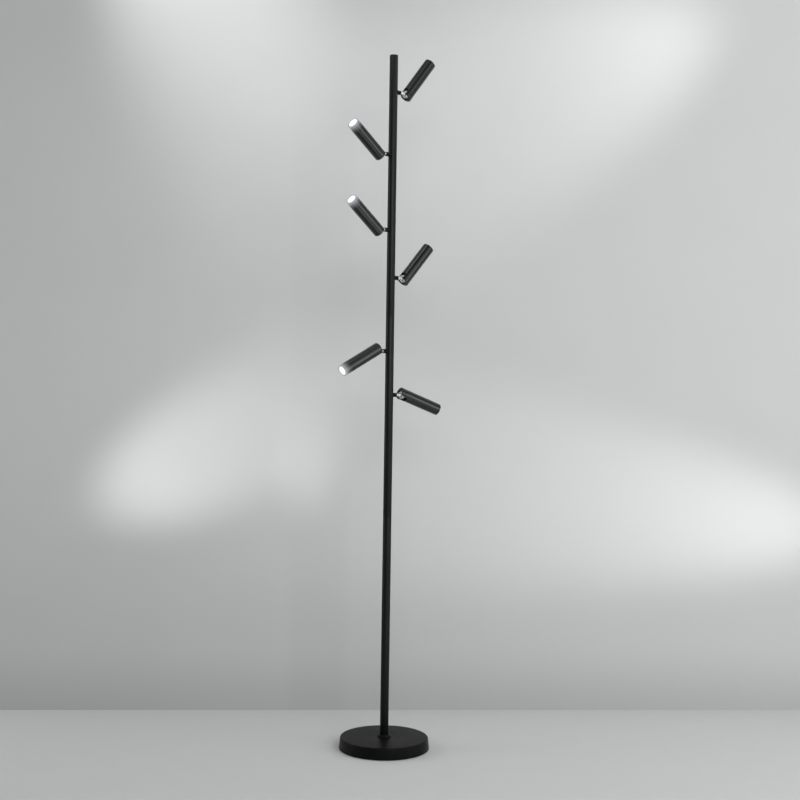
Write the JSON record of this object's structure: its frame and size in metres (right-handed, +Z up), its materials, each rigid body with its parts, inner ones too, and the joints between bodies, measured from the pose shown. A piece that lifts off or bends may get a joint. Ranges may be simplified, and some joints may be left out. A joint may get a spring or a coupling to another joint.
{
  "type": "tree floor lamp",
  "caption": "Slim floor lamp: straight pole on a round weighted base, with tube heads on short stems that swivel and fold.",
  "frame": {"origin": "on the floor, under the pole's axis, at the centre of the base's underside", "axes": "+Z up along the pole; the stems point along +X and -X; +Y is towards the side with the cord gland"},
  "size_m": [0.317, 0.2345, 1.8075],
  "materials": {
    "satin_black": "satin powder coat",
    "satin_black_tube": "satin black anodised",
    "bright_nickel": "bright nickel plate",
    "zinc_steel": "zinc plated",
    "cast_iron": "as cast, primed",
    "pad_rubber": "matt foam rubber",
    "grommet_rubber": "moulded",
    "loom_sheath": "silicone sheath",
    "driver_case": "moulded",
    "sink_aluminium": "turned",
    "board_aluminium": "white solder resist",
    "frosted_lens": "frosted, lit"
  },
  "bodies": {
    "stand": {"base_cover": "satin_black", "base_weight": "cast_iron", "base_plate": "zinc_steel", "base_pad": "pad_rubber", "led_driver": "driver_case", "cord_grommet": "grommet_rubber", "pole_foot": "satin_black", "foot_nut": "zinc_steel", "pole_couplers": "zinc_steel", "pole_cap": "satin_black", "wiring_loom": "loom_sheath", "pole_lower": "satin_black", "pole_middle": "satin_black", "pole_upper": "satin_black", "stems": "satin_black"},
    "arm_1": {"swivel_arm_1": "bright_nickel"},
    "head_1": {"head_tube_1": "satin_black_tube", "heat_sink_1": "sink_aluminium", "led_board_1": "board_aluminium", "head_lens_1": "frosted_lens"},
    "arm_2": {"swivel_arm_2": "bright_nickel"},
    "head_2": {"head_tube_2": "satin_black_tube", "heat_sink_2": "sink_aluminium", "led_board_2": "board_aluminium", "head_lens_2": "frosted_lens"},
    "arm_3": {"swivel_arm_3": "bright_nickel"},
    "head_3": {"head_tube_3": "satin_black_tube", "heat_sink_3": "sink_aluminium", "led_board_3": "board_aluminium", "head_lens_3": "frosted_lens"},
    "arm_4": {"swivel_arm_4": "bright_nickel"},
    "head_4": {"head_tube_4": "satin_black_tube", "heat_sink_4": "sink_aluminium", "led_board_4": "board_aluminium", "head_lens_4": "frosted_lens"},
    "arm_5": {"swivel_arm_5": "bright_nickel"},
    "head_5": {"head_tube_5": "satin_black_tube", "heat_sink_5": "sink_aluminium", "led_board_5": "board_aluminium", "head_lens_5": "frosted_lens"},
    "arm_6": {"swivel_arm_6": "bright_nickel"},
    "head_6": {"head_tube_6": "satin_black_tube", "heat_sink_6": "sink_aluminium", "led_board_6": "board_aluminium", "head_lens_6": "frosted_lens"}
  },
  "joints": [
    {"name": "swivel_1", "type": "hinge", "parent": "stand", "child": "arm_1", "pos_m": [0.023, 0, 1.706], "axis": [1, 0, 0], "range_deg": [-170, 170]},
    {"name": "fold_1", "type": "hinge", "parent": "arm_1", "child": "head_1", "pos_m": [0.044, 0, 1.706], "axis": [0, -0.9962, -0.0872], "range_deg": [-53, 37]},
    {"name": "swivel_2", "type": "hinge", "parent": "stand", "child": "arm_2", "pos_m": [-0.023, 0, 1.541], "axis": [1, 0, 0], "range_deg": [-170, 170]},
    {"name": "fold_2", "type": "hinge", "parent": "arm_2", "child": "head_2", "pos_m": [-0.044, 0, 1.541], "axis": [0, 0.9613, 0.2756], "range_deg": [-33, 57]},
    {"name": "swivel_3", "type": "hinge", "parent": "stand", "child": "arm_3", "pos_m": [-0.023, 0, 1.345], "axis": [1, 0, 0], "range_deg": [-170, 170]},
    {"name": "fold_3", "type": "hinge", "parent": "arm_3", "child": "head_3", "pos_m": [-0.044, 0, 1.345], "axis": [0, 0.9816, 0.1908], "range_deg": [-35, 55]},
    {"name": "swivel_4", "type": "hinge", "parent": "stand", "child": "arm_4", "pos_m": [0.023, 0, 1.223], "axis": [1, 0, 0], "range_deg": [-170, 170]},
    {"name": "fold_4", "type": "hinge", "parent": "arm_4", "child": "head_4", "pos_m": [0.044, 0, 1.223], "axis": [0, -0.9986, -0.0523], "range_deg": [-49, 41]},
    {"name": "swivel_5", "type": "hinge", "parent": "stand", "child": "arm_5", "pos_m": [-0.023, 0, 1.031], "axis": [1, 0, 0], "range_deg": [-170, 170]},
    {"name": "fold_5", "type": "hinge", "parent": "arm_5", "child": "head_5", "pos_m": [-0.044, 0, 1.031], "axis": [0, -0.9925, -0.1219], "range_deg": [-29, 61]},
    {"name": "swivel_6", "type": "hinge", "parent": "stand", "child": "arm_6", "pos_m": [0.023, 0, 0.918], "axis": [1, 0, 0], "range_deg": [-170, 170]},
    {"name": "fold_6", "type": "hinge", "parent": "arm_6", "child": "head_6", "pos_m": [0.044, 0, 0.918], "axis": [0, 0.9336, -0.3584], "range_deg": [-21, 69]}
  ]
}
